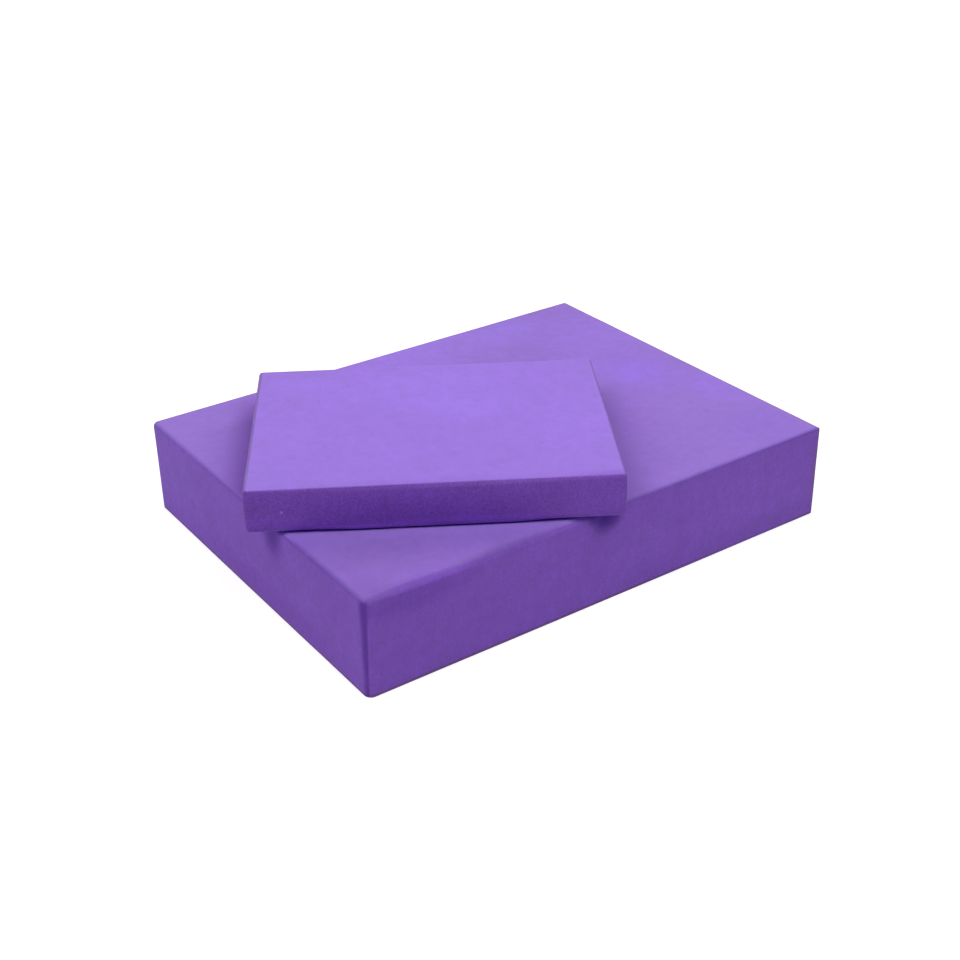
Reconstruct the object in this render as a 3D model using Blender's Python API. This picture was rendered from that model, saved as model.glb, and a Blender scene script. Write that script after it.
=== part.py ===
"""Pilates block set: a sitting block with a thinner head block lying turned on top of it.

Each block is one solid piece of closed-cell EVA foam with rounded edges. Nothing is fixed to
anything: the head block only rests on the sitting block and lifts straight off.

Units are metres and +Z is up. The origin is the middle of the sitting block's underside,
and +X runs along its long side.
"""
import math

import bmesh
import bpy
from mathutils import Vector

# Sitting block
SITTING_LENGTH = 0.300
SITTING_WIDTH = 0.233
SITTING_THICKNESS = 0.056
SITTING_UPRIGHT_RADIUS = 0.0030
SITTING_TOP_RADIUS = 0.0025
SITTING_UNDERSIDE_RADIUS = 0.0010

# Head block
HEAD_LENGTH = 0.190
HEAD_WIDTH = 0.140
HEAD_THICKNESS = 0.0255
HEAD_UPRIGHT_RADIUS = 0.0025
HEAD_TOP_RADIUS = 0.0015
HEAD_UNDERSIDE_RADIUS = 0.0015

# Where the head block lies on the sitting block, from the middle of one to the middle of the other
HEAD_SHIFT_X = -0.0479
HEAD_SHIFT_Y = -0.0205
HEAD_TURN = math.radians(-31.3)
RESTING_GAP = 0.0003

# Facets in a quarter turn of each rounded edge
UPRIGHT_FACETS = 8
RIM_FACETS = 5

# A rim's radius stays below the upright edge's, so that the rim turns every corner as an arc
LARGEST_RIM_SHARE = 0.9

FOAM_COLOUR = (0.30, 0.17, 0.66, 1.0)
FOAM_ROUGHNESS = 0.85

LEVEL_TOLERANCE = 1e-6
SHARP_ANGLE = math.radians(40)


def foam_material(name):
    """Matt moulded EVA foam."""
    material = bpy.data.materials.new(name)
    material.use_nodes = True
    shader = material.node_tree.nodes["Principled BSDF"]
    shader.inputs["Base Color"].default_value = FOAM_COLOUR
    shader.inputs["Roughness"].default_value = FOAM_ROUGHNESS
    shader.inputs["Metallic"].default_value = 0.0
    return material


def round_edges(mesh, edges, radius, facets):
    """Rolls the given edges over to a quarter circle of this radius."""
    bmesh.ops.bevel(
        mesh,
        geom=edges,
        offset=radius,
        offset_type="OFFSET",
        segments=facets,
        profile=0.5,
        affect="EDGES",
        clamp_overlap=False,
    )


def rim_edges(mesh, level):
    """The edges that run round the block at this height."""
    return [
        edge
        for edge in mesh.edges
        if all(abs(vertex.co.z - level) < LEVEL_TOLERANCE for vertex in edge.verts)
    ]


def foam_block(name, length, width, thickness, upright_radius, top_radius, underside_radius):
    """A rounded block that stands on z = 0 with its middle over the origin."""
    mesh = bmesh.new()
    bmesh.ops.create_cube(mesh, size=1.0)
    bmesh.ops.scale(mesh, vec=Vector((length, width, thickness)), verts=mesh.verts)
    bmesh.ops.translate(mesh, vec=Vector((0.0, 0.0, thickness / 2)), verts=mesh.verts)

    uprights = [edge for edge in mesh.edges if abs(edge.verts[0].co.z - edge.verts[1].co.z) > thickness / 2]
    round_edges(mesh, uprights, upright_radius, UPRIGHT_FACETS)
    largest_rim = upright_radius * LARGEST_RIM_SHARE
    round_edges(mesh, rim_edges(mesh, thickness), min(top_radius, largest_rim), RIM_FACETS)
    round_edges(mesh, rim_edges(mesh, 0.0), min(underside_radius, largest_rim), RIM_FACETS)
    bmesh.ops.recalc_face_normals(mesh, faces=mesh.faces)

    data = bpy.data.meshes.new(name)
    mesh.to_mesh(data)
    mesh.free()
    data.shade_smooth()
    data.set_sharp_from_angle(angle=SHARP_ANGLE)
    data.materials.append(foam_material(name + "_foam"))
    block = bpy.data.objects.new(name, data)
    bpy.context.scene.collection.objects.link(block)
    return block


for leftover in list(bpy.data.objects):
    bpy.data.objects.remove(leftover, do_unlink=True)

sitting_block = foam_block(
    "sitting_block",
    SITTING_LENGTH,
    SITTING_WIDTH,
    SITTING_THICKNESS,
    SITTING_UPRIGHT_RADIUS,
    SITTING_TOP_RADIUS,
    SITTING_UNDERSIDE_RADIUS,
)

# The head block's own origin is on its underside, on the upright line along which it lifts off
head_block = foam_block(
    "head_block",
    HEAD_LENGTH,
    HEAD_WIDTH,
    HEAD_THICKNESS,
    HEAD_UPRIGHT_RADIUS,
    HEAD_TOP_RADIUS,
    HEAD_UNDERSIDE_RADIUS,
)
head_block.parent = sitting_block
head_block.location = (HEAD_SHIFT_X, HEAD_SHIFT_Y, SITTING_THICKNESS + RESTING_GAP)
head_block.rotation_euler = (0.0, 0.0, HEAD_TURN)
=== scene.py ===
import math
from collections import namedtuple

import bpy
from mathutils import Matrix, Vector


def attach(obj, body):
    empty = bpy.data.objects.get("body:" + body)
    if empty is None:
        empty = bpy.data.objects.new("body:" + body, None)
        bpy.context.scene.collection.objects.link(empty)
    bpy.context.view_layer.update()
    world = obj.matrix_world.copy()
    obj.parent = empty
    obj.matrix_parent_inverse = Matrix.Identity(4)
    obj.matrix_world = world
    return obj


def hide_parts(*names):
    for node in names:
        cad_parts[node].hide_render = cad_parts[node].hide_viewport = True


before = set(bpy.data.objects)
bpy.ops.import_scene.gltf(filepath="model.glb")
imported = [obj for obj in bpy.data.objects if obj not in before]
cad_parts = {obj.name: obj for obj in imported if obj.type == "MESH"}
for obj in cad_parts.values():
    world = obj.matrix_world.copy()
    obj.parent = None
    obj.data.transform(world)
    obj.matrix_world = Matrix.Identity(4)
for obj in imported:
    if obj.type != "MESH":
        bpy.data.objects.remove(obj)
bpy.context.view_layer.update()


# Sitting block
# The large slab that one sits on: one solid piece of closed-cell EVA foam, cut from a sheet,
# its edges rolled over by the cutter. It lies flat on the floor and nothing is fixed to it.


class Wire:
    """One output of a node, so that a formula on values reads as a sum."""

    def __init__(self, nodes, socket):
        self.nodes = nodes
        self.socket = socket

    def __add__(self, other):
        return self.nodes.maths("ADD", self, other)

    def __radd__(self, other):
        return self.nodes.maths("ADD", other, self)

    def __sub__(self, other):
        return self.nodes.maths("SUBTRACT", self, other)

    def __rsub__(self, other):
        return self.nodes.maths("SUBTRACT", other, self)

    def __mul__(self, other):
        return self.nodes.maths("MULTIPLY", self, other)

    def __rmul__(self, other):
        return self.nodes.maths("MULTIPLY", other, self)

    def __truediv__(self, other):
        return self.nodes.maths("DIVIDE", self, other)

    def __rtruediv__(self, other):
        return self.nodes.maths("DIVIDE", other, self)

    def __pow__(self, other):
        return self.nodes.maths("POWER", self, other)

    def out(self, name):
        """Another output of the same node."""
        return Wire(self.nodes, self.socket.node.outputs[name])


class Nodes:
    """Adds nodes to one tree, of a shape or of a material."""

    # The Mix node's sockets for colours, whose names its sockets for numbers and vectors share
    MIX_SHARE = 0
    MIX_FIRST = 6
    MIX_SECOND = 7
    MIX_RESULT = 2

    def __init__(self, tree):
        self.tree = tree

    def add(self, kind, settings=None, inputs=None, output=0):
        """A node of this type, with its settings made first and then its sockets filled or linked."""
        node = self.tree.nodes.new(kind)
        for name, value in (settings or {}).items():
            setattr(node, name, value)
        for key, value in (inputs or {}).items():
            if isinstance(value, Wire):
                self.tree.links.new(value.socket, node.inputs[key])
            else:
                node.inputs[key].default_value = value
        return Wire(self, node.outputs[output])

    def maths(self, operation, *values):
        return self.add("ShaderNodeMath", {"operation": operation}, dict(enumerate(values)))

    def smooth(self, value, low, high):
        """0 up to low, 1 from high on and a soft step between them. Low may be the larger number."""
        return self.add(
            "ShaderNodeMapRange",
            {"interpolation_type": "SMOOTHSTEP"},
            {"Value": value, "From Min": low, "From Max": high},
        )

    def blend(self, share, first, second):
        """The first number where the share is 0, the second where it is 1."""
        return share * (second - first) + first

    def distance(self, first, second):
        return self.add(
            "ShaderNodeVectorMath",
            {"operation": "DISTANCE"},
            {0: first, 1: second},
            output="Value",
        )

    def axes(self, point, place, turn=0.0, units=(1.0, 1.0, 1.0)):
        """The point as seen from a place, along axes turned about the upright and in these units."""
        return self.add(
            "ShaderNodeMapping",
            {"vector_type": "TEXTURE"},
            {"Vector": point, "Location": place, "Rotation": (0.0, 0.0, turn), "Scale": units},
        )

    def noise(self, point, size, seed, detail=3.0, roughness=0.5):
        """Soft noise from 0 to 1 whose lumps are about this size in metres."""
        return self.add(
            "ShaderNodeTexNoise",
            {"noise_dimensions": "4D"},
            {"Vector": point, "W": seed, "Scale": 1 / size, "Detail": detail, "Roughness": roughness},
        )

    def mix(self, share, first, second):
        """A colour between two colours, each of them a wire or its red, green and blue."""
        first, second = (colour if isinstance(colour, Wire) else (*colour, 1.0) for colour in (first, second))
        return self.add(
            "ShaderNodeMix",
            {"data_type": "RGBA"},
            {self.MIX_SHARE: share, self.MIX_FIRST: first, self.MIX_SECOND: second},
            output=self.MIX_RESULT,
        )


# A mark's colour is full within the core, a share of its radii, and has faded out at the radii
Mark = namedtuple("Mark", "place radii core share colour")

# A dent is pressed straight in, and is about half as deep at 0.8 of its width from its middle
Dent = namedtuple("Dent", "place width depth")


class Block:
    """One of the two blocks: its size, where it lies, and places on it.

    Its own axes start in the middle of its underside, X along its long side and Z up. Its front
    is the long side at -Y and its end is the short side at -X. The camera looks at both.
    """

    def __init__(self, node, turn):
        turned_back = Matrix.Rotation(-turn, 3, "Z")
        points = [turned_back @ vertex.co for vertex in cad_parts[node].data.vertices]
        low = Vector([min(point[i] for point in points) for i in range(3)])
        high = Vector([max(point[i] for point in points) for i in range(3)])
        middle = (low + high) / 2
        self.size = high - low
        self.turn = turn
        self.foot = Matrix.Rotation(turn, 3, "Z") @ Vector((middle.x, middle.y, low.z))

    def on_top(self, x, y):
        return (x, y, self.size.z)

    def on_front(self, x, z):
        return (x, -self.size.y / 2, z)

    def on_end(self, y, z):
        return (-self.size.x / 2, y, z)

    def top_mark(self, place, reach, share, colour, core=0.0, depth=0.0025):
        """A mark on the upper skin, by its x and y and how far it reaches in each."""
        reach_x, reach_y = reach
        return Mark(self.on_top(*place), (reach_x, reach_y, depth), core, share, colour)

    def front_mark(self, place, reach, share, colour, core=0.1, depth=0.010):
        """A mark on the front, by its x and z and how far it reaches in each."""
        reach_x, reach_z = reach
        return Mark(self.on_front(*place), (reach_x, depth, reach_z), core, share, colour)

    def end_mark(self, place, reach, share, colour, core=0.1, depth=0.010):
        """A mark on the end, by its y and z and how far it reaches in each."""
        reach_y, reach_z = reach
        return Mark(self.on_end(*place), (depth, reach_y, reach_z), core, share, colour)

    def rim_mark(self, place, radii, share, colour, core=0.1):
        """A mark on the front rim, by its x and how far inward and down from the sharp edge it is."""
        x, inward, down = place
        return Mark((x, inward - self.size.y / 2, self.size.z - down), radii, core, share, colour)


def round_marks(colour, spots, core=0.4):
    """Small round marks of one colour, each by its place, radius and share."""
    return [Mark(place, (radius, radius, radius), core, share, colour) for place, radius, share in spots]


def tree_with_inputs(name):
    """An empty shape tree with the inputs that a block's shape is given by."""
    tree = bpy.data.node_groups.new(name, "GeometryNodeTree")
    tree.is_modifier = True
    tree.interface.new_socket("Geometry", in_out="OUTPUT", socket_type="NodeSocketGeometry")
    for kind, labels in (
        ("Float", ("Length", "Width", "Thickness", "Turn")),
        ("Vector", ("Foot",)),
        ("Float", ("Front Corner", "Left Corner", "Right Corner", "Back Corner")),
        ("Float", ("Front Rim", "End Rim", "Back Rim", "Underside Rim", "Underside Corner Rim")),
        ("Float", ("Slack Rim", "Slack Reach", "Bevel", "Rim Change", "Rim Zone")),
        ("Vector", ("Slack Place",)),
        ("Float", ("Unevenness", "Side Wander", "Bulge", "Seed")),
        ("Int", ("Cells Along", "Cells Across", "Cells Up", "Rim Cells")),
        ("Material", ("Foam",)),
    ):
        for label in labels:
            tree.interface.new_socket(label, in_out="INPUT", socket_type="NodeSocket" + kind)
    return tree


def side_shares(nodes, across, cells, rim_cells):
    """A vertex's share of the straight part of one side, and its share of the rounded corner."""
    corner_share = rim_cells * 2 / cells
    far = nodes.maths("ABSOLUTE", across)
    sign = nodes.maths("SIGN", across)
    straight = nodes.maths("MINIMUM", far / (1 - corner_share), 1.0)
    corner = nodes.maths("MAXIMUM", (far - 1 + corner_share) / corner_share, 0.0)
    return straight * sign, corner * sign


def press_in(nodes, geometry, dents):
    """The same geometry with its dents."""
    for dent in dents:
        gap = nodes.distance(nodes.add("GeometryNodeInputPosition"), dent.place) / dent.width
        depth = dent.depth * nodes.maths("EXPONENT", gap * gap * -1)
        inwards = nodes.add(
            "ShaderNodeVectorMath",
            {"operation": "SCALE"},
            {0: nodes.add("GeometryNodeInputNormal"), "Scale": depth * -1},
        )
        geometry = nodes.add("GeometryNodeSetPosition", None, {"Geometry": geometry, "Offset": inwards})
    return geometry


def block_shape_tree(name, dents):
    """The shape of a foam block: a cube of small cells, each corner of which is put in place by rule.

    A vertex on the cube is split into a straight part and a share of the rounded corner, and
    the rims are quarter circles that narrow the outline as they rise or drop.
    """
    tree = tree_with_inputs(name)
    nodes = Nodes(tree)
    given = nodes.add("NodeGroupInput")
    length, width, thickness = (given.out(label) for label in ("Length", "Width", "Thickness"))
    rim_cells = given.out("Rim Cells")

    # Each unevenness has a noise of its own, with lumps of its own size
    rim_seed = given.out("Seed")
    sheet_seed = rim_seed + 3.0
    cutter_seed = rim_seed + 7.0
    rim_lumps = 0.030
    sheet_lumps = 0.060
    cutter_lumps = 0.045

    # The cube reaches from -1 to 1, so that a vertex's place on it is a share of the half block
    cube = nodes.add(
        "GeometryNodeMeshCube",
        None,
        {
            "Size": (2.0, 2.0, 2.0),
            "Vertices X": given.out("Cells Along") + 1,
            "Vertices Y": given.out("Cells Across") + 1,
            "Vertices Z": given.out("Cells Up") + 1,
        },
    )
    on_cube = nodes.add("ShaderNodeSeparateXYZ", None, {0: nodes.add("GeometryNodeInputPosition")})
    cube_x, cube_y, cube_z = (on_cube.out(axis) for axis in "XYZ")
    cap = 0.999
    on_top = nodes.maths("GREATER_THAN", cube_z, cap)
    on_underside = nodes.maths("LESS_THAN", cube_z, -cap)
    above_middle = nodes.maths("GREATER_THAN", cube_z, 0.0)

    # The radius of the upright edges goes over from one corner's to the next along each side
    change_end = 0.8
    to_right = nodes.smooth(cube_x, -change_end, change_end)
    to_left = nodes.smooth(cube_y, -change_end, change_end)
    front_pair = nodes.blend(to_right, given.out("Front Corner"), given.out("Right Corner"))
    back_pair = nodes.blend(to_right, given.out("Left Corner"), given.out("Back Corner"))
    upright_radius = nodes.blend(to_left, front_pair, back_pair)

    # Which way is out: along a side straight out of it, and round a corner as the corner turns
    straight_x, corner_x = side_shares(nodes, cube_x, given.out("Cells Along"), rim_cells)
    straight_y, corner_y = side_shares(nodes, cube_y, given.out("Cells Across"), rim_cells)
    reach = nodes.maths("MAXIMUM", nodes.maths("ABSOLUTE", corner_x), nodes.maths("ABSOLUTE", corner_y))
    least_spread = 1e-6
    spread = nodes.maths("SQRT", corner_x * corner_x + corner_y * corner_y)
    spread = nodes.maths("MAXIMUM", spread, least_spread)
    out_x = corner_x / spread
    out_y = corner_y / spread
    outline = nodes.add(
        "ShaderNodeCombineXYZ",
        None,
        {"X": straight_x * length / 2, "Y": straight_y * width / 2},
    )

    # Each side has its own top rim, and round one place on the front side the rim has slackened
    at_back = nodes.maths("GREATER_THAN", out_x, 0.0)
    at_left = nodes.maths("GREATER_THAN", out_y, 0.0)
    end_rim = nodes.blend(at_back, given.out("End Rim"), given.out("Back Rim"))
    long_rim = nodes.blend(at_left, given.out("Front Rim"), given.out("Back Rim"))
    away = nodes.distance(outline, given.out("Slack Place")) / given.out("Slack Reach")
    slackness = nodes.maths("EXPONENT", away * away * -1) * (1 - at_left)
    long_rim = nodes.blend(slackness, long_rim, given.out("Slack Rim"))
    changed = 1 + given.out("Rim Change") * (nodes.noise(outline, rim_lumps, rim_seed, detail=2.0) * 2 - 1)
    top_radius = (end_rim * out_x * out_x + long_rim * out_y * out_y) * changed

    # The underside's rim is rounder towards the block's corners
    corner_begins = 0.40
    corner_full = 0.70
    far_x = nodes.maths("ABSOLUTE", straight_x)
    far_y = nodes.maths("ABSOLUTE", straight_y)
    to_corner = nodes.maths("MINIMUM", far_x, far_y)
    at_corner = nodes.smooth(to_corner, corner_begins, corner_full)
    underside_radius = nodes.blend(at_corner, given.out("Underside Rim"), given.out("Underside Corner Rim"))
    rim_radius = nodes.blend(above_middle, underside_radius, top_radius)

    # Where the rim has slackened, its section is flatter than a quarter circle
    section = 1 + given.out("Bevel") * slackness * above_middle

    # A loop of the rim lies inside the outline, and its own corner is as much tighter
    least_corner = 0.0002
    flat_share = 1 / rim_cells
    roll = nodes.maths("MINIMUM", nodes.maths("MAXIMUM", (reach - flat_share) / (1 - flat_share), 0.0), 1.0)
    angle = roll * (math.pi / 2)
    on_rim = nodes.maths("GREATER_THAN", reach, flat_share / 2)
    inside = nodes.blend(
        on_rim,
        given.out("Rim Zone"),
        rim_radius * (1 - nodes.maths("SINE", angle) ** section),
    )
    own_corner = nodes.maths("MAXIMUM", upright_radius - inside, least_corner) * on_rim
    plain_x = straight_x * (length / 2 - inside - own_corner) + out_x * own_corner
    plain_y = straight_y * (width / 2 - inside - own_corner) + out_y * own_corner
    side_height = thickness - top_radius - underside_radius
    height = (
        underside_radius
        + (cube_z + 1) / 2 * side_height
        + (on_top * top_radius - on_underside * underside_radius) * nodes.maths("COSINE", angle) ** section
    )
    plain = nodes.add("ShaderNodeCombineXYZ", None, {"X": plain_x, "Y": plain_y, "Z": height})

    # The sheet was a little uneven
    up_share = height / thickness
    rise = (nodes.noise(plain, sheet_lumps, sheet_seed) * 2 - 1) * given.out("Unevenness")
    raised = height + rise * up_share

    # The cutter wandered along the sides, which bulge a little at half height
    wander = nodes.noise(plain, cutter_lumps, cutter_seed, detail=2.0) * 2 - 1
    bulge = given.out("Bulge") * 4 * up_share * (1 - up_share)
    push = (wander * given.out("Side Wander") + bulge) * reach * reach
    place = nodes.add(
        "ShaderNodeCombineXYZ",
        None,
        {"X": plain_x + out_x * push, "Y": plain_y + out_y * push, "Z": raised},
    )
    moved = nodes.add("GeometryNodeSetPosition", None, {"Geometry": cube, "Position": place})

    smoothed = nodes.add("GeometryNodeSetShadeSmooth", None, {0: press_in(nodes, moved, dents)})
    turn = nodes.add("ShaderNodeCombineXYZ", None, {"Z": given.out("Turn")})
    laid = nodes.add(
        "GeometryNodeTransform",
        None,
        {"Geometry": smoothed, "Translation": given.out("Foot"), "Rotation": turn},
    )
    realized = nodes.add("GeometryNodeRealizeInstances", None, {"Geometry": laid})
    foam = given.out("Foam")
    painted = nodes.add("GeometryNodeSetMaterial", None, {"Geometry": realized, "Material": foam})
    finished = tree.nodes.new("NodeGroupOutput")
    tree.links.new(painted.socket, finished.inputs["Geometry"])
    return tree


def foam_block(node, block, foam, dents, shape, underside_gap=0.0):
    """The plain mesh that stands in for this node, in this foam, with the radii and so on in shape."""
    name = node + "_foam"
    tree = block_shape_tree(node + "_shape", dents)
    inputs = {
        "Length": block.size.x,
        "Width": block.size.y,
        "Thickness": block.size.z - underside_gap,
        "Turn": block.turn,
        "Foot": block.foot + Vector((0.0, 0.0, underside_gap)),
        "Foam": foam,
        **shape,
    }
    shaped = bpy.data.objects.new(name, bpy.data.meshes.new(name))
    bpy.context.scene.collection.objects.link(shaped)
    modifier = shaped.modifiers.new("shape", "NODES")
    modifier.node_group = tree
    for item in tree.interface.items_tree:
        if item.in_out == "INPUT":
            modifier[item.identifier] = inputs[item.name]
    graph = bpy.context.evaluated_depsgraph_get()
    mesh = bpy.data.meshes.new_from_object(shaped.evaluated_get(graph), depsgraph=graph)
    shaped.modifiers.remove(modifier)
    shaped.data = mesh
    mesh.name = name
    return shaped


# A foam's colours and grain. The lowest edge, which carries painted shade and light, and the upright edges
# are coloured apart from the sides
Finish = namedtuple("Finish", "skin side low_edge uprights grain_size grain_strength seed")

# A top edge coloured apart over its round, which on most edges is painted shade. The side is a direction in
# the block's own axes, the colour begins and is full so far in from it, and it goes down as far as the drop
Edge = namedtuple("Edge", "side begins full drop share colour")

# An upright edge with painted shade, by the signs of its corner. The shade ends sharply on the
# front, this far from the edge at the top and at the foot, and fades out over the end
CornerShade = namedtuple("CornerShade", "corner front_at_top front_at_foot end_reach colour")

# Where another block lies on the skin: painted shadow on the skin past the ends of that block and
# painted light along its front. A shadowed end is told by the sign of its x
CastShade = namedtuple("CastShade", "block ends bleached_share bleached_colour")
ShadowedEnd = namedtuple("ShadowedEnd", "sign reach share colour")


class Spot:
    """Where a point of a block's surface lies, for the block's material."""

    def __init__(self, nodes, block):
        self.shared = nodes.add("ShaderNodeTexCoord").out("Object")
        self.own = nodes.axes(self.shared, block.foot, block.turn)
        own = nodes.add("ShaderNodeSeparateXYZ", None, {0: self.own})
        self.x, self.y, self.up = (own.out(axis) for axis in "XYZ")
        self.down = block.size.z - self.up
        self.in_x = block.size.x / 2 - nodes.maths("ABSOLUTE", self.x)
        self.in_y = block.size.y / 2 - nodes.maths("ABSOLUTE", self.y)

        # The skin goes over to the cut side where a point is as far in as it is down or up
        no_skin = -0.0003
        full_skin = 0.0005
        inward = nodes.maths("MINIMUM", self.in_x, self.in_y)
        self.skin = nodes.smooth(inward - nodes.maths("MINIMUM", self.down, self.up), no_skin, full_skin)
        self.side = 1 - self.skin


def on_edge(nodes, block, spot, edge):
    """How far a point is on a top edge coloured apart, from 0 to 1."""
    full_drop = edge.drop * 0.4
    along = spot.x * edge.side[0] + spot.y * edge.side[1]
    half = (block.size.x / 2) * abs(edge.side[0]) + (block.size.y / 2) * abs(edge.side[1])
    return nodes.smooth(half - along, edge.begins, edge.full) * nodes.smooth(spot.down, edge.drop, full_drop)


def on_corner_shade(nodes, block, spot, corner_shade):
    """How far a point is in the painted shade of an upright edge, from 0 to 1."""
    sharpness = 0.0006
    full_from = -0.0005
    near = nodes.maths("GREATER_THAN", spot.x * corner_shade.corner[0], 0.0)
    near = near * nodes.maths("GREATER_THAN", spot.y * corner_shade.corner[1], 0.0)
    across = spot.in_x - spot.in_y
    limit = nodes.blend(spot.up / block.size.z, corner_shade.front_at_foot, corner_shade.front_at_top)
    sharp_hand = nodes.smooth(across - limit, sharpness, -sharpness)
    soft_hand = nodes.smooth(across, -corner_shade.end_reach, full_from)
    return sharp_hand * soft_hand * near * spot.side


def with_cast_shade(nodes, spot, tone, cast_shade):
    """The tone with painted shadow past the ends of a block that lies on the skin and painted light along its
    front, which go a little way under it.
    """
    shadow_under = -0.006
    light_under = -0.002
    light_reach = 0.009
    length, width, _ = cast_shade.block.size
    lain = nodes.axes(spot.shared, cast_shade.block.foot, cast_shade.block.turn)
    from_lain = nodes.add("ShaderNodeSeparateXYZ", None, {0: lain})

    # Past the ends the skin carries painted shadow, but not beyond the back
    back_fades = width * 0.45
    back_ends = width * 0.75
    short_of_back = nodes.smooth(from_lain.out("Y"), back_ends, back_fades)
    for end in cast_shade.ends:
        beyond = from_lain.out("X") * end.sign - length / 2
        end_shadow = nodes.smooth(beyond, end.reach, 0.0) * nodes.smooth(beyond, shadow_under, 0.0)
        tone = nodes.mix(end_shadow * short_of_back * spot.skin * end.share, tone, end.colour)

    # Along the front it carries painted light, but not quite to the corners
    ahead = from_lain.out("Y") * -1 - width / 2
    full_until = length * 0.42
    between = nodes.smooth(nodes.maths("ABSOLUTE", from_lain.out("X")), length / 2, full_until)
    front_light = nodes.smooth(ahead, light_reach, 0.0) * nodes.smooth(ahead, light_under, 0.0) * between
    return nodes.mix(front_light * spot.skin * cast_shade.bleached_share, tone, cast_shade.bleached_colour)


def foam_tone(nodes, block, spot, finish, edges, corner_shades, cast_shades, marks):
    """The foam's colour without its grain, with its painted light and shade and its marks each laid over
    those before it.
    """
    tone = nodes.mix(spot.skin, finish.side, finish.skin)

    # Most top edges carry painted shade over their round, and the sitting block's far ones a less blue colour
    for edge in edges:
        tone = nodes.mix(on_edge(nodes, block, spot, edge) * edge.share, tone, edge.colour)

    # The lowest edge carries painted shade and light, and the upright edges have a colour of their own
    low_begins = 0.0028
    low_full = 0.0012
    low_edge = nodes.smooth(spot.up, low_begins, low_full) * spot.side
    tone = nodes.mix(low_edge, tone, finish.low_edge)
    upright_begins = 0.0020
    upright_full = 0.0009
    from_upright = nodes.maths("MAXIMUM", spot.in_x, spot.in_y)
    upright = nodes.smooth(from_upright, upright_begins, upright_full) * spot.side
    tone = nodes.mix(upright, tone, finish.uprights)

    for corner_shade in corner_shades:
        tone = nodes.mix(on_corner_shade(nodes, block, spot, corner_shade), tone, corner_shade.colour)
    for cast_shade in cast_shades:
        tone = with_cast_shade(nodes, spot, tone, cast_shade)
    for mark in marks:
        from_mark = nodes.distance(nodes.axes(spot.own, mark.place, units=mark.radii), (0.0, 0.0, 0.0))
        tone = nodes.mix(nodes.smooth(from_mark, 1.0, mark.core) * mark.share, tone, mark.colour)
    return tone


def eva_foam(name, block, finish, edges, marks, corner_shades=(), cast_shades=()):
    """Closed-cell EVA foam, with a closed paler skin above and below and cut cells on its sides."""
    material = bpy.data.materials.new(name)
    material.use_nodes = True
    nodes = Nodes(material.node_tree)
    spot = Spot(nodes, block)
    side = spot.side

    # Soft mottling and blotches, upright streaks and fine grain, each with a noise of its own
    mottle_size = 0.013
    blotch_size = 0.0045
    streak_size = 0.0030
    streak_space = (1.0, 1.0, 0.22)
    mottle = nodes.noise(spot.own, mottle_size, finish.seed)
    blotches = nodes.noise(spot.own, blotch_size, finish.seed + 4.0)
    drawn_out = nodes.add("ShaderNodeMapping", None, {"Vector": spot.own, "Scale": streak_space})
    streaks = nodes.noise(drawn_out, streak_size, finish.seed + 1.0)
    grain = nodes.noise(spot.own, finish.grain_size, finish.seed + 2.0, roughness=0.6)

    # Fine cells on the cut sides, and a pinhole in the middle of each of some far larger cells
    cell_size = 0.0012
    pinhole_spacing = 0.018
    pinhole_rim = 0.035
    pinhole_floor = 0.020
    cells = nodes.add(
        "ShaderNodeTexVoronoi",
        {"feature": "SMOOTH_F1"},
        {"Vector": spot.own, "Scale": 1 / cell_size, "Smoothness": 0.4},
    )
    wide_cells = nodes.add("ShaderNodeTexVoronoi", None, {"Vector": spot.own, "Scale": 1 / pinhole_spacing})
    pinholes = nodes.smooth(wide_cells, pinhole_rim, pinhole_floor)

    # How much each of them lightens and darkens the foam, most of all on the cut sides
    mottle_shade = 0.16 + side * 0.14
    blotch_shade = 0.24
    streak_shade = 0.12
    grain_shade = 0.19 + side * finish.grain_strength
    pinhole_shade = 0.30
    shade = (
        1
        + (mottle - 0.5) * mottle_shade
        + (blotches - 0.5) * blotch_shade
        + (streaks - 0.5) * streak_shade * side
        + (grain - 0.5) * grain_shade
        - pinholes * pinhole_shade
    )
    tone = foam_tone(nodes, block, spot, finish, edges, corner_shades, cast_shades, marks)
    shaded = nodes.add("ShaderNodeVectorMath", {"operation": "SCALE"}, {0: tone, "Scale": shade})

    # The skin is a little smoother than the cut sides
    plain_roughness = 0.66 + side * 0.14
    mottle_roughness = 0.10
    grain_roughness = 0.08
    rough = plain_roughness + (mottle - 0.5) * mottle_roughness + (grain - 0.5) * grain_roughness

    # Grain and cells stand out and pinholes go in
    relief_depth = 0.00035
    relief_strength = 0.30
    grain_relief = 0.3 + side * 0.4
    cell_relief = 0.25 + side * 0.6
    pinhole_relief = 1.5
    relief = grain * grain_relief + cells * cell_relief - pinholes * pinhole_relief
    bump = nodes.add(
        "ShaderNodeBump",
        None,
        {"Strength": relief_strength, "Distance": relief_depth, "Height": relief},
    )

    shader = material.node_tree.nodes["Principled BSDF"]
    shader.inputs["Specular IOR Level"].default_value = 0.5
    for wire, socket in ((shaded, "Base Color"), (rough, "Roughness"), (bump, "Normal")):
        material.node_tree.links.new(wire.socket, shader.inputs[socket])
    return material


# The head block lies on the sitting block's skin, which carries painted shadow past its ends and painted
# light along its front
sitting = Block("sitting_block", turn=0.0)
head = Block("head_block", turn=math.radians(-31.3))

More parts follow.
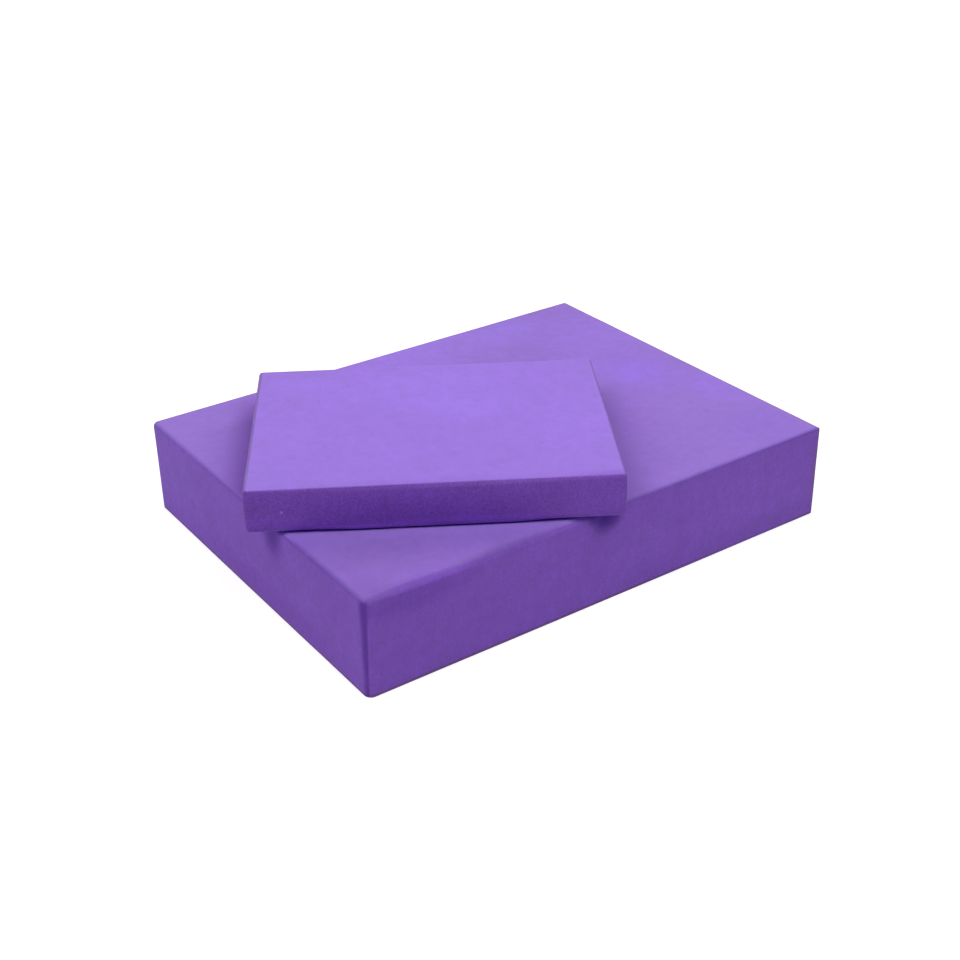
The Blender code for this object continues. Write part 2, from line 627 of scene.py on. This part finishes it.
# Painted shadows on the sitting block under the two corners of the head block that stand out
overhang_shadow = (0.068, 0.003, 0.335)
end_overhang_shadow = (0.130, 0.014, 0.480)
overhang_shadow_depth = 0.006
overhang_shadows = [
    sitting.front_mark((-0.0050, 0.0525), (0.0120, 0.0140), share=1.00, colour=overhang_shadow, depth=overhang_shadow_depth),
    sitting.front_mark((-0.0125, 0.0545), (0.0065, 0.0065), share=0.75, colour=overhang_shadow, depth=overhang_shadow_depth),
    sitting.front_mark((0.0010, 0.0490), (0.0080, 0.0070), share=0.65, colour=overhang_shadow, depth=overhang_shadow_depth),
    sitting.end_mark(
        (-0.0270, 0.0490), (0.0145, 0.0190), share=0.95, colour=end_overhang_shadow, core=0.05, depth=overhang_shadow_depth
    ),
]

# The front rim carries painted shade by the front corner with a strip of painted light outside it,
# and further on painted shade all over its round
corner_rim_shade = (0.145, 0.060, 0.400)
corner_rim_light = (0.283, 0.147, 0.595)
top_shade_by_rim = (0.215, 0.100, 0.450)
round_rim_shade = (0.178, 0.070, 0.460)
rim_light_and_shade = [
    sitting.rim_mark((-0.124, 0.0017, 0.0004), (0.038, 0.002, 0.002), share=0.85, colour=corner_rim_shade, core=0.2),
    sitting.rim_mark((-0.124, 0.0004, 0.0017), (0.038, 0.001, 0.002), share=0.55, colour=corner_rim_light, core=0.3),
    sitting.rim_mark((-0.074, 0.0020, 0.0000), (0.040, 0.005, 0.004), share=0.45, colour=top_shade_by_rim),
    sitting.rim_mark((-0.064, 0.0013, 0.0015), (0.048, 0.004, 0.005), share=0.85, colour=round_rim_shade, core=0.2),
]

# The skin carries painted shade by both corners of the front, and painted shade and light by the head block's
# corner
front_top_shade_and_light = [
    sitting.top_mark((-0.146, -0.113), (0.026, 0.026), share=0.45, colour=(0.180, 0.080, 0.380)),
    sitting.top_mark((-0.122, -0.078), (0.045, 0.040), share=0.45, colour=(0.250, 0.135, 0.490)),
    sitting.top_mark((0.129, -0.098), (0.050, 0.045), share=0.25, colour=(0.200, 0.080, 0.630)),
    sitting.top_mark((0.044, -0.109), (0.022, 0.013), share=0.40, colour=(0.315, 0.170, 0.680)),
    sitting.top_mark((0.035, -0.094), (0.017, 0.015), share=0.50, colour=(0.240, 0.120, 0.530)),
    sitting.top_mark((0.050, -0.078), (0.018, 0.030), share=0.40, colour=(0.262, 0.134, 0.565)),
]

# It carries painted light along the back and past the head block's far end
back_top_light = [
    sitting.top_mark((0.010, 0.108), (0.100, 0.060), share=0.95, colour=(0.333, 0.180, 0.760)),
    sitting.top_mark((0.130, 0.060), (0.060, 0.065), share=0.60, colour=(0.320, 0.172, 0.760)),
    sitting.top_mark((0.086, 0.101), (0.042, 0.032), share=0.95, colour=(0.316, 0.179, 0.755)),
    sitting.top_mark((0.090, 0.028), (0.024, 0.024), share=0.80, colour=(0.312, 0.165, 0.750)),
    sitting.top_mark((0.116, 0.002), (0.033, 0.038), share=0.90, colour=(0.302, 0.158, 0.775)),
    sitting.top_mark((0.138, -0.040), (0.023, 0.040), share=0.70, colour=(0.302, 0.157, 0.750)),
]

# The front carries painted shade under its rim by the front corner, painted light towards its other
# end, painted shade again low down there, and is darker along that end's upright edge
shade_under_rim = (0.205, 0.070, 0.550)
lit_front = (0.285, 0.116, 0.690)
low_front_shade = (0.240, 0.096, 0.570)
far_upright = (0.235, 0.105, 0.430)
front_tones = [
    sitting.front_mark((-0.120, 0.049), (0.0480, 0.013), share=0.80, colour=shade_under_rim, core=0.2),
    sitting.front_mark((0.095, 0.025), (0.0850, 0.045), share=0.80, colour=lit_front),
    sitting.front_mark((0.022, 0.028), (0.0350, 0.022), share=0.70, colour=lit_front),
    sitting.front_mark((0.100, 0.008), (0.0650, 0.009), share=0.60, colour=low_front_shade),
    sitting.front_mark(
        (0.149, 0.028), (0.0045, 0.033), share=0.70, colour=far_upright, core=0.3, depth=0.006
    ),
]

# The end carries painted light at its far side, and painted shade low down and towards the front
# corner, where the painted shade on the upright edge is darkest near its top
end_shade = (0.236, 0.082, 0.575)
corner_top_shade = (0.095, 0.022, 0.340)
front_corner_y = -sitting.size.y / 2
end_tones = [
    sitting.end_mark((-0.020, 0.0300), (0.130, 0.040), share=0.35, colour=(0.245, 0.096, 0.590)),
    sitting.end_mark((0.110, 0.0280), (0.012, 0.035), share=0.60, colour=(0.268, 0.125, 0.650)),
    sitting.end_mark((0.085, 0.0300), (0.045, 0.040), share=0.80, colour=(0.270, 0.118, 0.660)),
    sitting.end_mark((0.045, 0.0480), (0.050, 0.012), share=0.50, colour=(0.275, 0.115, 0.650)),
    sitting.end_mark((-0.020, 0.0095), (0.140, 0.011), share=0.80, colour=end_shade),
    sitting.end_mark((-0.088, 0.0400), (0.026, 0.020), share=0.60, colour=end_shade),
    sitting.end_mark((front_corner_y, 0.0500), (0.005, 0.013), share=0.60, colour=corner_top_shade, depth=0.005),
]
stains = round_marks(
    (0.050, 0.020, 0.200),
    [
        (sitting.on_end(0.0696, 0.0230), 0.005, 0.10),
        (sitting.on_end(0.0889, 0.0388), 0.008, 0.05),
    ],
)

rounded_edge_shade = (0.172, 0.078, 0.480)
far_rim_colour = (0.270, 0.140, 0.340)
sitting_foam = eva_foam(
    "sitting_foam",
    sitting,
    Finish(
        skin=(0.285, 0.150, 0.620),
        side=(0.259, 0.101, 0.632),
        # The foot is painted shade
        low_edge=(0.182, 0.070, 0.315),
        uprights=(0.178, 0.070, 0.310),
        grain_size=0.0016,
        grain_strength=0.38,
        seed=1.0,
    ),
    edges=(
        Edge(side=(-1, 0), begins=0.0033, full=0.0004, drop=0.0028, share=1.00, colour=rounded_edge_shade),
        Edge(side=(0, -1), begins=0.0030, full=0.0003, drop=0.0020, share=0.90, colour=rounded_edge_shade),
        Edge(side=(1, 0), begins=0.0032, full=0.0010, drop=0.0018, share=0.90, colour=far_rim_colour),
        Edge(side=(0, 1), begins=0.0032, full=0.0010, drop=0.0018, share=0.90, colour=far_rim_colour),
    ),
    marks=overhang_shadows + rim_light_and_shade + front_top_shade_and_light + back_top_light + front_tones + end_tones + stains,
    corner_shades=(
        CornerShade(
            corner=(-1, -1),
            front_at_top=0.0020,
            front_at_foot=0.0,
            end_reach=0.0055,
            colour=(0.128, 0.034, 0.400),
        ),
    ),
    cast_shades=(
        CastShade(
            block=head,
            ends=(
                ShadowedEnd(sign=-1, reach=0.021, share=0.95, colour=(0.197, 0.058, 0.455)),
                ShadowedEnd(sign=1, reach=0.044, share=0.40, colour=(0.200, 0.074, 0.445)),
            ),
            bleached_share=0.70,
            bleached_colour=(0.325, 0.186, 0.650),
        ),
    ),
)
sitting_block = foam_block(
    "sitting_block",
    sitting,
    sitting_foam,
    dents=(
        Dent(sitting.on_front(0.062, 0.021), width=0.006, depth=0.0004),
        Dent(sitting.on_end(0.070, 0.023), width=0.005, depth=0.0003),
        Dent(sitting.on_top(0.110, 0.020), width=0.012, depth=0.0003),
    ),
    shape={
        "Front Corner": 0.0042,
        "Left Corner": 0.0030,
        "Right Corner": 0.0010,
        "Back Corner": 0.0021,
        "Front Rim": 0.0012,
        "End Rim": 0.0028,
        "Back Rim": 0.0018,
        "Slack Rim": 0.0042,
        "Slack Place": sitting.on_front(-0.075, 0.0),
        "Slack Reach": 0.080,
        "Bevel": 0.45,
        "Underside Rim": 0.0008,
        "Underside Corner Rim": 0.0010,
        "Rim Change": 0.10,
        "Rim Zone": 0.0060,
        "Unevenness": 0.00015,
        "Side Wander": 0.00015,
        "Bulge": 0.0,
        "Cells Along": 176,
        "Cells Across": 136,
        "Cells Up": 30,
        "Rim Cells": 8,
        "Seed": 11.0,
    },
)
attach(sitting_block, "sitting_block")
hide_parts("sitting_block")


# Head block
# The thin block that goes under the head: one solid piece of the same foam. It lies loose and
# turned on the sitting block, over whose end and front side two of its corners stand out.

# The top edges are darker and less blue by the left corner of the back
back_corner_edges = [
    head.top_mark(
        (-0.0800, 0.0695), (0.040, 0.0024), share=0.90, colour=(0.230, 0.115, 0.390), core=0.3, depth=0.0028
    ),
    head.top_mark(
        (-0.0945, 0.0600), (0.002, 0.0240), share=0.80, colour=(0.190, 0.085, 0.330), core=0.3, depth=0.0028
    ),
]

# The skin carries painted light along the back and by the right end, and painted shade by the front corner
head_skin = [
    head.top_mark((0.000, 0.042), (0.090, 0.048), share=0.70, colour=(0.350, 0.191, 0.810), core=0.1),
    head.top_mark((0.018, 0.012), (0.042, 0.024), share=0.80, colour=(0.350, 0.191, 0.820)),
    head.top_mark((-0.066, 0.050), (0.030, 0.020), share=0.60, colour=(0.350, 0.191, 0.810)),
    head.top_mark((0.072, -0.008), (0.038, 0.045), share=0.50, colour=(0.350, 0.190, 0.820)),
    head.top_mark((-0.070, -0.055), (0.040, 0.030), share=0.50, colour=(0.304, 0.163, 0.695)),
]

# The front carries painted shade low down in its middle, and painted light under its rim, along its
# foot and at both ends
dark_middle = (0.145, 0.042, 0.370)
upper_front = (0.225, 0.082, 0.530)
rim_strip = (0.270, 0.115, 0.580)
left_foot = (0.270, 0.092, 0.610)
right_foot = (0.224, 0.070, 0.546)
left_front = (0.205, 0.064, 0.550)
right_front = (0.220, 0.077, 0.570)
head_front = [
    head.front_mark((-0.008, 0.0065), (0.075, 0.0160), share=0.42, colour=dark_middle),
    head.front_mark((0.000, 0.0225), (0.120, 0.0070), share=0.30, colour=upper_front),
    head.front_mark((0.008, 0.0238), (0.100, 0.0016), share=0.60, colour=rim_strip, core=0.3, depth=0.001),
    head.front_mark((-0.050, 0.0026), (0.060, 0.0018), share=0.70, colour=left_foot, core=0.2),
    head.front_mark((0.025, 0.0044), (0.070, 0.0024), share=0.60, colour=right_foot, core=0.2),
    head.front_mark((-0.088, 0.0060), (0.040, 0.0080), share=0.80, colour=left_front),
    head.front_mark((0.088, 0.0120), (0.035, 0.0250), share=0.70, colour=right_front),
]

# A nick in the front shows the paler foam inside, and a few specks lie about
nick = (-0.0767, 0.0126)
inner_foam = (0.460, 0.240, 0.860)
nicks = [
    head.front_mark(nick, (0.0008, 0.0013), share=0.60, colour=inner_foam, core=0.3, depth=0.0011),
]
specks = round_marks(
    (0.030, 0.010, 0.100),
    [
        (head.on_front(-0.0149, 0.0139), 0.0010, 0.45),
        (head.on_front(-0.0027, 0.0086), 0.0010, 0.45),
        (head.on_top(-0.0767, 0.0294), 0.0010, 0.20),
        (head.on_top(-0.0603, 0.0278), 0.0012, 0.20),
    ],
)

head_rounded_edge_shade = (0.150, 0.066, 0.370)
head_foam = eva_foam(
    "head_foam",
    head,
    Finish(
        skin=(0.322, 0.171, 0.730),
        # The cut sides are darker than the sitting block's of the same foam, as painted shade on the front
        side=(0.186, 0.060, 0.470),
        # The foot is a painted lighter strip
        low_edge=(0.238, 0.094, 0.530),
        uprights=(0.190, 0.066, 0.440),
        grain_size=0.0010,
        grain_strength=1.15,
        seed=21.0,
    ),
    edges=(
        Edge(side=(-1, 0), begins=0.0020, full=0.0010, drop=0.0030, share=1.00, colour=head_rounded_edge_shade),
        Edge(side=(1, 0), begins=0.0016, full=0.0006, drop=0.0030, share=0.80, colour=head_rounded_edge_shade),
    ),
    marks=back_corner_edges + head_skin + head_front + nicks + specks,
)

# The block stands a little clear of where its solid's underside is, so that the join with the
# sitting block shows as a thin dark line
head_block = foam_block(
    "head_block",
    head,
    head_foam,
    dents=(
        Dent(head.on_front(*nick), width=0.002, depth=0.0004),
        Dent(head.on_top(0.040, 0.030), width=0.010, depth=0.0003),
    ),
    shape={
        "Front Corner": 0.0015,
        "Left Corner": 0.0018,
        "Right Corner": 0.0011,
        "Back Corner": 0.0018,
        "Front Rim": 0.0010,
        "End Rim": 0.0016,
        "Back Rim": 0.0014,
        "Slack Rim": 0.0018,
        "Slack Place": head.on_front(0.080, 0.0),
        "Slack Reach": 0.050,
        "Bevel": 0.0,
        "Underside Rim": 0.0015,
        "Underside Corner Rim": 0.0035,
        "Rim Change": 0.10,
        "Rim Zone": 0.0050,
        "Unevenness": 0.00010,
        "Side Wander": 0.00010,
        "Bulge": 0.0005,
        "Cells Along": 128,
        "Cells Across": 98,
        "Cells Up": 16,
        "Rim Cells": 8,
        "Seed": 31.0,
    },
    underside_gap=0.0006,
)
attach(head_block, "head_block")
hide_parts("head_block")


# Floor and light
# A white studio floor that fades into a white surround, two soft boxes at the front, a weak one
# overhead and two low ones behind. The sides towards the camera get much of their light off the floor.

floor_width = 8.0
floor_grey = 0.55

# What is added to the floor where it is seen: so much by the blocks, and white from the fade's end on
floor_lift = 0.72
far_floor_lift = 1.10
fade_start = 0.35
fade_end = 1.20

# What the floor adds of its own to the light on the blocks
floor_light = 0.153

lamp_width = 0.8
lamp_distance = 1.6
lamp_aim = Vector((0.0, 0.0, 0.05))

scene = bpy.context.scene
scene.view_settings.view_transform = "Standard"


def seen_directly(nodes):
    """1 for camera, glossy and transmission rays, which see the white surround itself."""
    path = nodes.add("ShaderNodeLightPath")
    seen = nodes.maths("MAXIMUM", path.out("Is Camera Ray"), path.out("Is Glossy Ray"))
    return nodes.maths("MAXIMUM", seen, path.out("Is Transmission Ray"))


world = bpy.data.worlds.new("white_surround")
world.use_nodes = True
scene.world = world
background = world.node_tree.nodes["Background"]
background.inputs["Color"].default_value = (1.0, 1.0, 1.0, 1.0)
world.node_tree.links.new(seen_directly(Nodes(world.node_tree)).socket, background.inputs["Strength"])

floor_paint = bpy.data.materials.new("white_floor")
floor_paint.use_nodes = True
nodes = Nodes(floor_paint.node_tree)
floor_paint.node_tree.nodes.remove(floor_paint.node_tree.nodes["Principled BSDF"])
matt = nodes.add("ShaderNodeBsdfDiffuse", None, {"Color": (floor_grey, floor_grey, floor_grey, 1.0)})
from_middle = nodes.distance(nodes.add("ShaderNodeTexCoord").out("Object"), (0.0, 0.0, 0.0))
lift = nodes.blend(nodes.smooth(from_middle, fade_start, fade_end), floor_lift, far_floor_lift)
strength = nodes.blend(seen_directly(nodes), floor_light, lift)
glow = nodes.add("ShaderNodeEmission", None, {"Strength": strength})
both = nodes.add("ShaderNodeAddShader", None, {0: matt, 1: glow})
floor_paint.node_tree.links.new(both.socket, floor_paint.node_tree.nodes["Material Output"].inputs["Surface"])

floor_mesh = bpy.data.meshes.new("floor")
half = floor_width / 2
floor_mesh.from_pydata(
    [(-half, -half, 0.0), (half, -half, 0.0), (half, half, 0.0), (-half, half, 0.0)],
    [],
    [(0, 1, 2, 3)],
)
floor = bpy.data.objects.new("floor", floor_mesh)
floor_mesh.materials.append(floor_paint)
scene.collection.objects.link(floor)


def direction(azimuth, elevation):
    """The way to a place round the blocks, by its angles from the front and from the floor in degrees."""
    turn = math.radians(azimuth)
    rise = math.radians(elevation)
    return Vector((math.sin(turn) * math.cos(rise), -math.cos(turn) * math.cos(rise), math.sin(rise)))


def soft_box(name, azimuth, elevation, power):
    """A square lamp that faces the blocks from this direction."""
    lamp = bpy.data.lights.new(name, "AREA")
    lamp.shape = "SQUARE"
    lamp.size = lamp_width
    lamp.energy = power
    holder = bpy.data.objects.new(name, lamp)
    away = direction(azimuth, elevation)
    holder.location = lamp_aim + away * lamp_distance
    holder.rotation_euler = away.to_track_quat("Z", "Y").to_euler()
    scene.collection.objects.link(holder)


soft_box("front_left_box", azimuth=-79.6, elevation=55.0, power=10.8)
soft_box("front_right_box", azimuth=10.4, elevation=55.0, power=7.7)
soft_box("overhead_box", azimuth=55.4, elevation=75.0, power=2.9)
soft_box("back_right_box", azimuth=100.4, elevation=35.0, power=8.1)
soft_box("back_left_box", azimuth=-169.6, elevation=15.0, power=7.7)


# Camera
# It looks down on the front corner of the sitting block from about 0.85 m away, with a short
# telephoto lens and a slight lean.

view_azimuth = -34.627
view_elevation = 28.847
view_lean = math.radians(0.995)
view_distance = 0.8533
view_target = Vector((-0.01184, -0.01375, 0.0300))
sensor_width = 36.0
focal_length = 56.65

camera_data = bpy.data.cameras.new("camera")
camera_data.sensor_width = sensor_width
camera_data.lens = focal_length
camera = bpy.data.objects.new("camera", camera_data)
back = direction(view_azimuth, view_elevation)
level = Vector((math.cos(math.radians(view_azimuth)), math.sin(math.radians(view_azimuth)), 0.0))
upward = back.cross(level)
right = level * math.cos(view_lean) - upward * math.sin(view_lean)
top = upward * math.cos(view_lean) + level * math.sin(view_lean)
camera.matrix_world = Matrix.Translation(view_target + back * view_distance) @ Matrix(
    (right, top, back)
).transposed().to_4x4()
scene.collection.objects.link(camera)
scene.camera = camera
